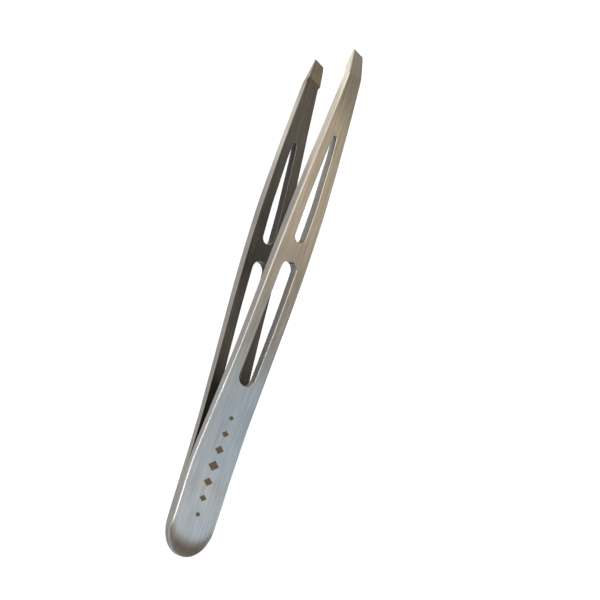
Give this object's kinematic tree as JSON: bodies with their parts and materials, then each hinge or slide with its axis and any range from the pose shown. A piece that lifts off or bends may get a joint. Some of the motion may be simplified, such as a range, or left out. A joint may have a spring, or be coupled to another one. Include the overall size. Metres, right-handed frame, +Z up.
{
  "type": "slant tweezers",
  "caption": "Slant-tip spring tweezers: two bowed stainless arms welded at a rounded heel, with long finger windows and ground grip pads.",
  "frame": {"origin": "on the table, under the centre of the tool's box, with the tool lying on the heel end and the belly of the lower arm", "axes": "+X from the rounded heel to the slanted tips, +Y across the width towards the tip edge's long corner, +Z up from the table; the closing plane between the arms rises 5.02 degrees from the heel to the tips"},
  "size_m": [0.0962, 0.0088, 0.0161],
  "materials": {
    "arm_steel": "satin stainless, brushed along the length, edges lightly broken and brighter",
    "weld_steel": "dull grey weld metal, hidden between the heel plates"
  },
  "bodies": {
    "heel": {"upper_arm_heel_plate": "arm_steel", "lower_arm_heel_plate": "arm_steel", "weld_nugget_1": "weld_steel", "weld_nugget_2": "weld_steel"},
    "upper_arm": {"upper_arm_blade": "arm_steel"},
    "lower_arm": {"lower_arm_blade": "arm_steel"}
  },
  "joints": [
    {"name": "upper_arm_flex", "type": "hinge", "parent": "heel", "child": "upper_arm", "pos_m": [-0.02625, 0, 0.00398], "axis": [0, 1, 0], "range_deg": [0, 4.5], "stiffness_Nm_per_rad": 0.6},
    {"name": "lower_arm_flex", "type": "hinge", "parent": "heel", "child": "lower_arm", "pos_m": [-0.02604, 0, 0.00158], "axis": [0, -1, 0], "range_deg": [0, 4.5], "stiffness_Nm_per_rad": 0.6}
  ]
}
